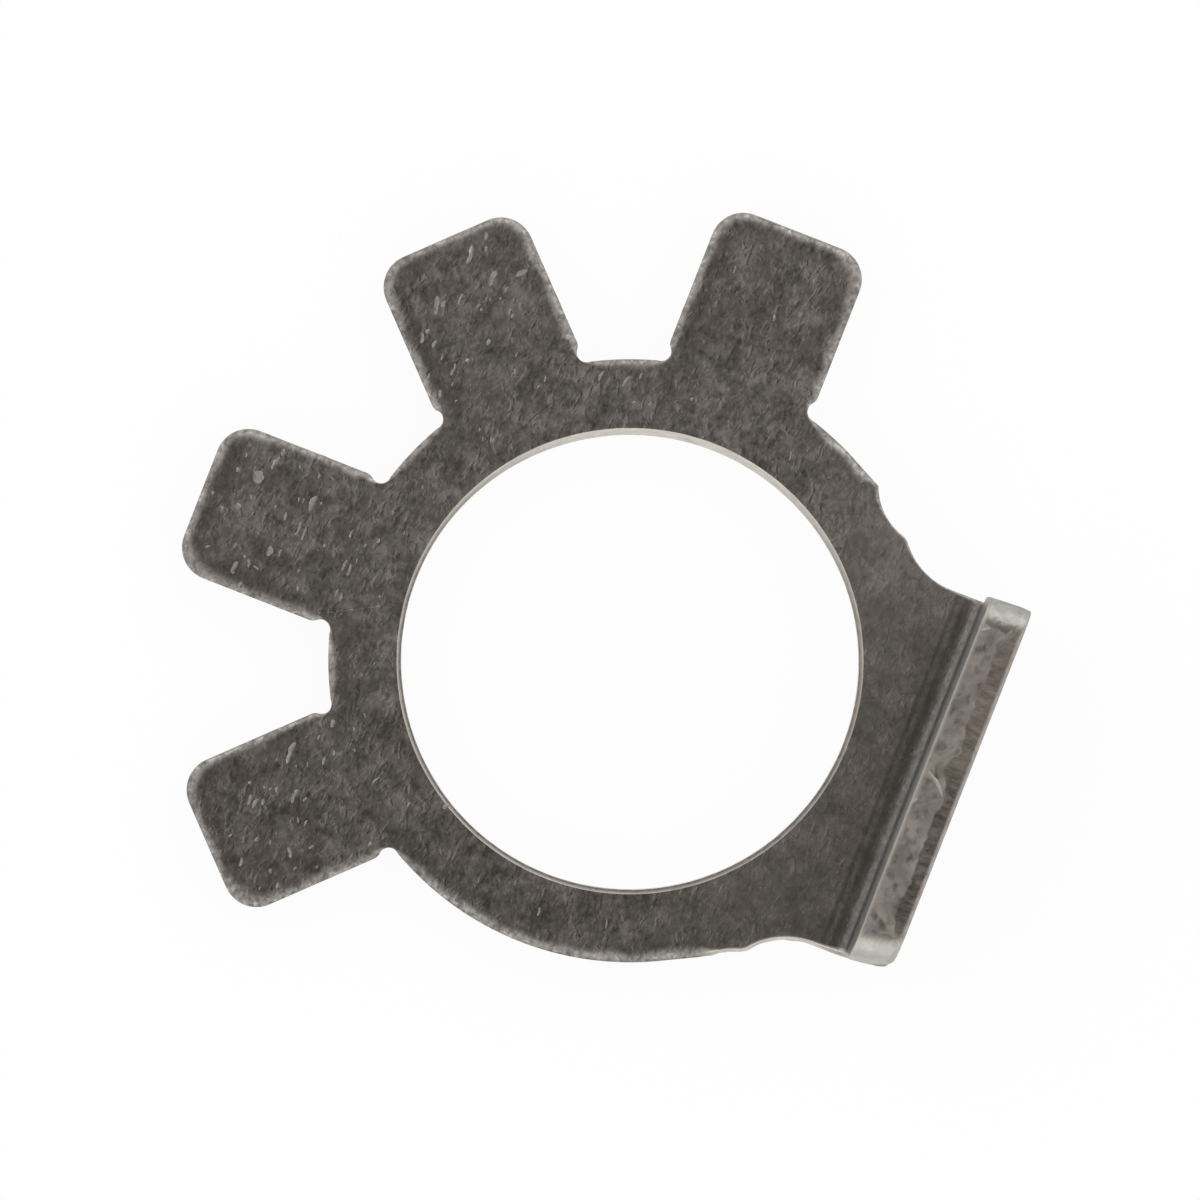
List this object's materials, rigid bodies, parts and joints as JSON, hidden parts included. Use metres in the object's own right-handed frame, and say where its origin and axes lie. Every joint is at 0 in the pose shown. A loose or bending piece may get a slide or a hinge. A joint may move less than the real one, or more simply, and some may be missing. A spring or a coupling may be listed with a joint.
{
  "type": "tab washer",
  "caption": "Flat stamped steel tab washer: a ring with rectangular lock tabs round one side and one wide hook tab bent upright, used to stop a nut from turning.",
  "frame": {"origin": "bore axis at the underside of the ring", "axes": "+Z along the bore towards the side that the hook tab stands on, +X from the bore to the hook tab"},
  "size_m": [0.037, 0.0378, 0.008],
  "materials": {
    "steel": "dull dark mill surface with small bright nicks and bare sheared edges"
  },
  "bodies": {
    "root": {"tab_washer": "steel"}
  },
  "joints": []
}
